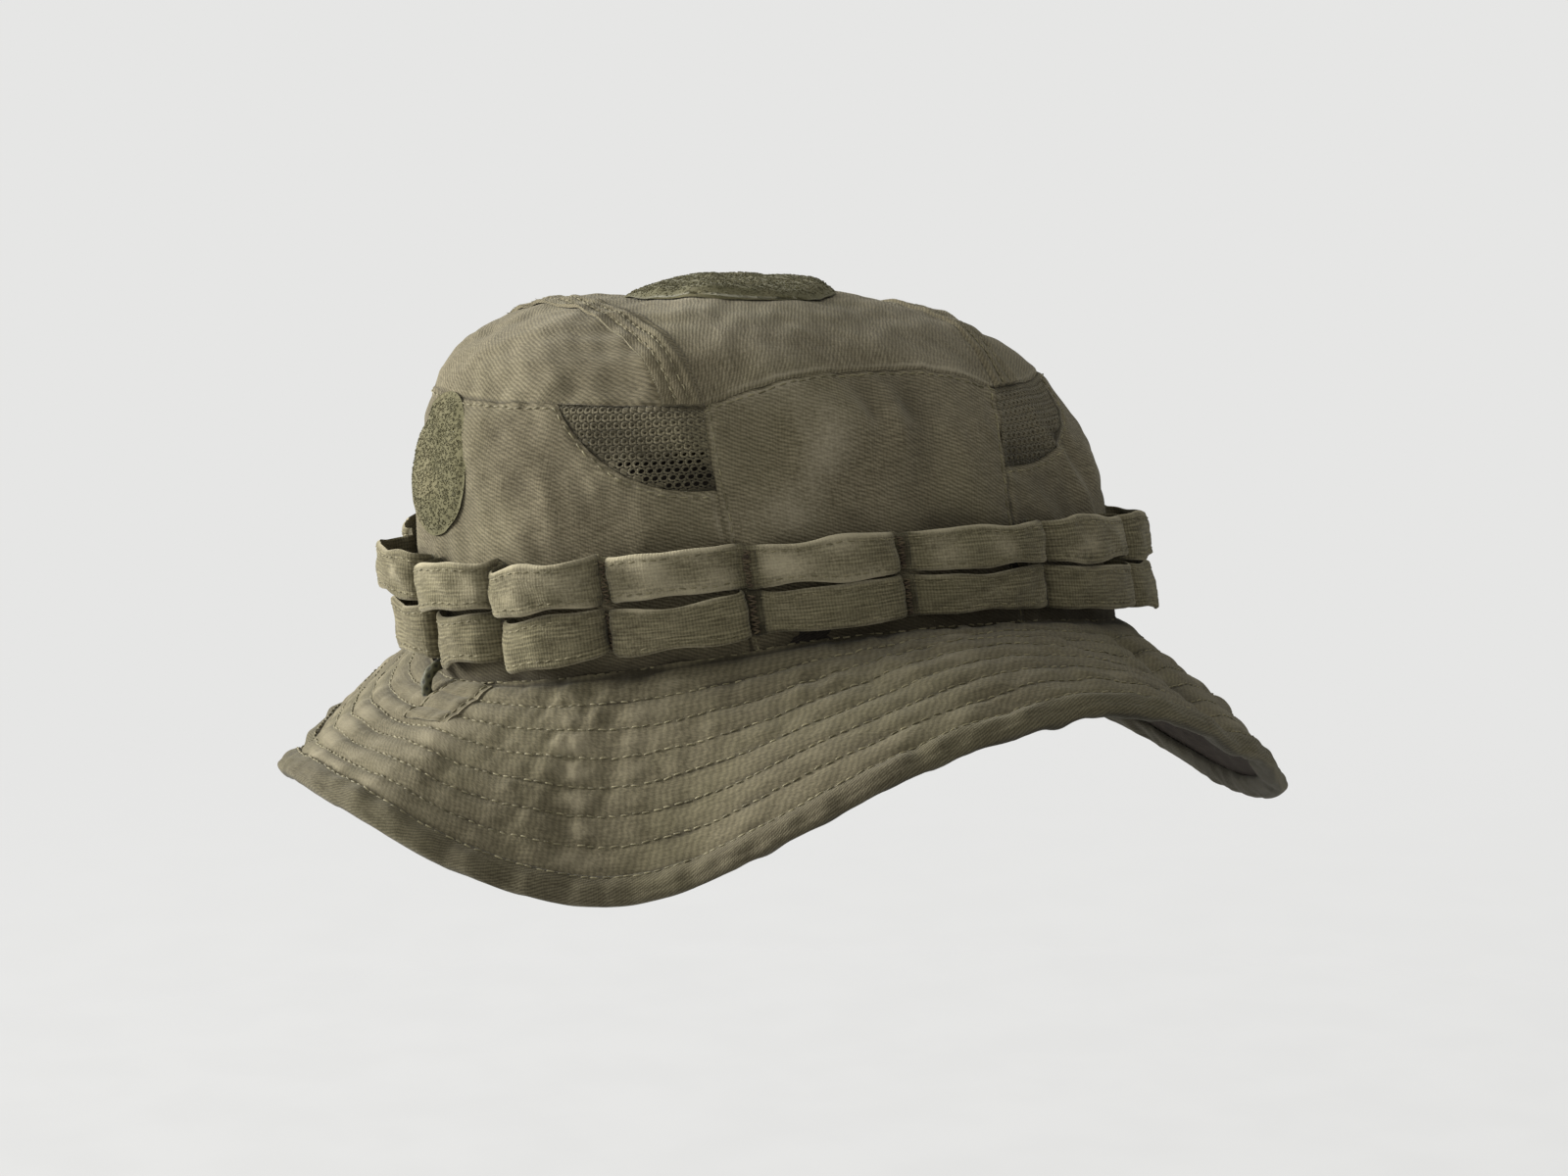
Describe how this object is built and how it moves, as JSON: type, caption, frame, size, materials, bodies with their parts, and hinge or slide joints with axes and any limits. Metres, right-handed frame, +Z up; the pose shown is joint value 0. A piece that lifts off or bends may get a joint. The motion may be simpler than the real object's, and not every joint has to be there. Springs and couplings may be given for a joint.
{
  "type": "boonie hat",
  "caption": "Soft cloth sun hat with a panelled crown, mesh vents, rows of open webbing loops, round loop patches, a stitched wavy brim and a drawcord with a cord lock.",
  "frame": {"origin": "centre of the head opening, level with the crown-to-brim seam", "axes": "+Z up, +Y towards the front of the hat, -Y towards the drawcord at the rear, +X towards the side that the picture shows"},
  "size_m": [0.2859, 0.2932, 0.1617],
  "materials": {
    "cloth": "plain-woven ripstop-weight cotton, matt",
    "under_cloth": "plain-woven cotton, matt, darker",
    "mesh": "perforated knit, matt",
    "loop_pile": "fuzzy loop pile",
    "webbing": "ribbed webbing, matt",
    "thread": "polyester thread, slight sheen",
    "lining": "plain-woven lining, matt",
    "cord": "braided, slight sheen",
    "lock_plastic": "moulded, fine texture",
    "spring_steel": "bright wire"
  },
  "bodies": {
    "hat": {"crown_centre_panel": "cloth", "crown_rear_cap": "cloth", "crown_front_cap": "cloth", "rear_panel": "cloth", "front_panel": "cloth", "right_side_panel": "cloth", "left_side_panel": "cloth", "vent_rear_right": "mesh", "vent_rear_left": "mesh", "vent_front_right": "mesh", "vent_front_left": "mesh", "rear_seam_tape": "cloth", "front_seam_tape": "cloth", "top_loop_patch": "loop_pile", "rear_loop_patch": "loop_pile", "webbing_upper": "webbing", "webbing_lower": "webbing", "webbing_bartacks": "thread", "sweatband": "lining", "drawcord": "cord", "cord_buttonhole": "thread", "brim_top_ply": "cloth", "brim_interlining": "lining", "brim_under_ply": "under_cloth", "brim_binding": "cloth", "brim_tab": "cloth", "drawcord_tail": "cord", "tail_knot": "cord"},
    "cord_lock": {"cord_lock_body": "lock_plastic", "cord_lock_spring": "spring_steel"},
    "lock_plunger": {"cord_lock_plunger": "lock_plastic"}
  },
  "joints": [
    {"name": "cord_lock_slide", "type": "slide", "parent": "hat", "child": "cord_lock", "axis": [0, 0, -1], "range_m": [0, 0.01]},
    {"name": "plunger_press", "type": "slide", "parent": "cord_lock", "child": "lock_plunger", "axis": [-1, 0, 0], "range_m": [0, 0.003], "stiffness_N_per_m": 500, "springref_m": -0.002, "deforming": ["cord_lock_spring"]}
  ]
}
